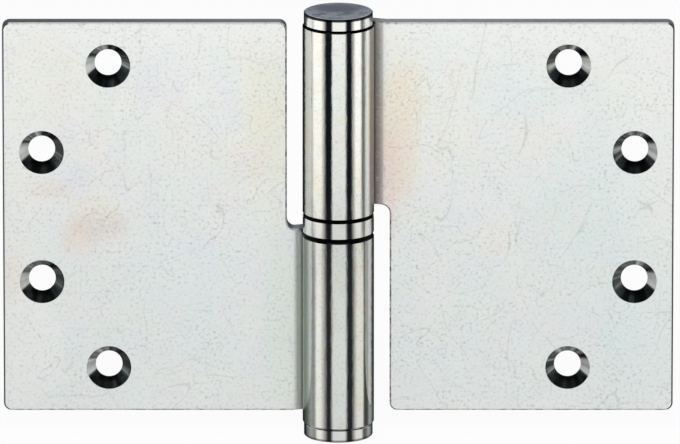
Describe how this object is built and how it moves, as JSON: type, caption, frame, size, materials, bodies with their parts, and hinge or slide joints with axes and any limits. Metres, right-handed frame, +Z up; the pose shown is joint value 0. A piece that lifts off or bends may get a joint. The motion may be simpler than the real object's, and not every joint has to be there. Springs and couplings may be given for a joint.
{
  "type": "lift-off hinge",
  "caption": "Steel lift-off door hinge with wide flat leaves, rolled knuckles, staggered countersunk screw holes, capped ends and a ball-bearing ring on its pin.",
  "frame": {"origin": "on the pin's axis, at the middle of the ball bearing, which is the middle of the box", "axes": "+Z up along the pin, +X towards the door leaf, +Y out of the backs of the open leaves"},
  "size_m": [0.15, 0.016, 0.098],
  "materials": {
    "leaf_zinc": "zinc plated and passivated, satin",
    "turned_zinc": "turned and zinc plated, semi-bright",
    "pin_steel": "ground and lightly oiled",
    "bearing_steel": "hardened and polished"
  },
  "bodies": {
    "frame": {"frame_leaf": "leaf_zinc", "hinge_pin": "pin_steel", "bottom_cap": "turned_zinc", "lower_race": "bearing_steel", "bearing_casing": "turned_zinc"},
    "turning_race": {"upper_race": "bearing_steel"},
    "ball_ring": {"bearing_ball_01": "bearing_steel", "bearing_ball_02": "bearing_steel", "bearing_ball_03": "bearing_steel", "bearing_ball_04": "bearing_steel", "bearing_ball_05": "bearing_steel", "bearing_ball_06": "bearing_steel", "bearing_ball_07": "bearing_steel", "bearing_ball_08": "bearing_steel", "bearing_ball_09": "bearing_steel", "bearing_ball_10": "bearing_steel", "bearing_ball_11": "bearing_steel", "bearing_ball_12": "bearing_steel"},
    "door": {"door_leaf": "leaf_zinc", "top_cap": "turned_zinc"}
  },
  "joints": [
    {"name": "leaf_swing", "type": "hinge", "parent": "frame", "child": "turning_race", "pos_m": [0, 0, 0], "axis": [0, 0, -1], "range_deg": [-130, 180]},
    {"name": "ball_orbit", "type": "hinge", "parent": "frame", "child": "ball_ring", "pos_m": [0, 0, 0], "axis": [0, 0, -1], "range_deg": [-65, 90]},
    {"name": "leaf_lift", "type": "slide", "parent": "turning_race", "child": "door", "axis": [0, 0, 1], "range_m": [0, 0.04]}
  ],
  "couplings": [
    {"joint": "ball_orbit", "follows": "leaf_swing", "ratio": 0.5}
  ]
}
